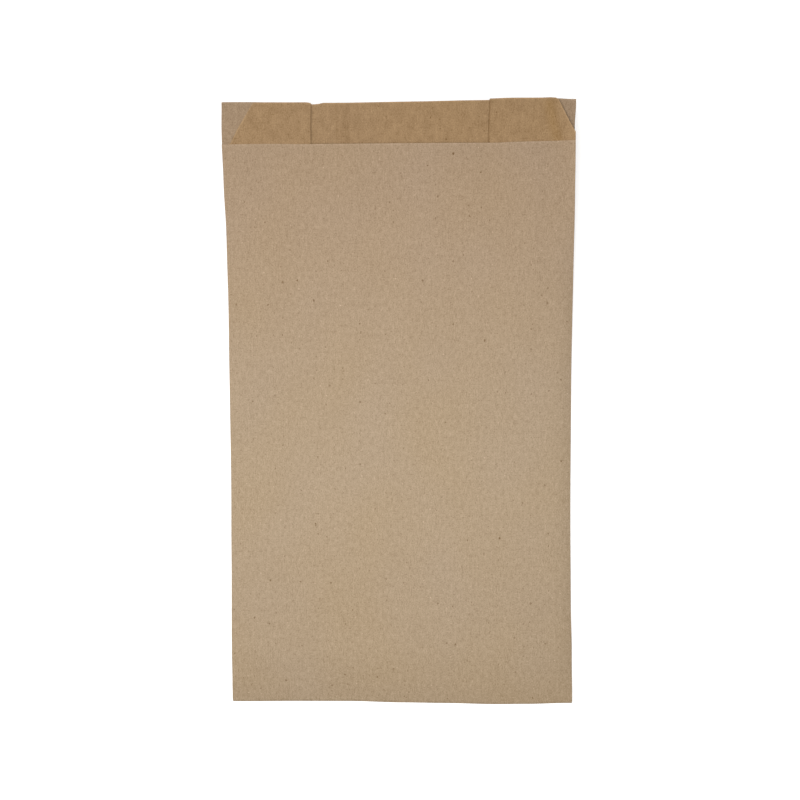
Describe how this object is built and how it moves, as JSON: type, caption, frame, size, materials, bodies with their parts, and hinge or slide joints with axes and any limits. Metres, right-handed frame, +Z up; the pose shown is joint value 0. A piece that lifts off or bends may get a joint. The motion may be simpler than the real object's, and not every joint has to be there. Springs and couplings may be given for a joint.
{
  "type": "kraft paper bag",
  "caption": "Flat brown paper takeaway bag with side gussets, a stepped open mouth and a turned-under pasted bottom, for carrying food and small goods.",
  "frame": {"origin": "middle of the underside of the bag's bounding box, as it lies on its back on a table", "axes": "+X across the bag to the right as seen from above with the mouth away, +Y from the folded bottom to the mouth, +Z up out of the front panel"},
  "size_m": [0.2002, 0.35, 0.0159],
  "materials": {
    "kraft_paper": "unbleached matt kraft with fine vertical fibre, paler outside than inside"
  },
  "bodies": {
    "root": {"paper_bag": "kraft_paper"}
  },
  "joints": []
}
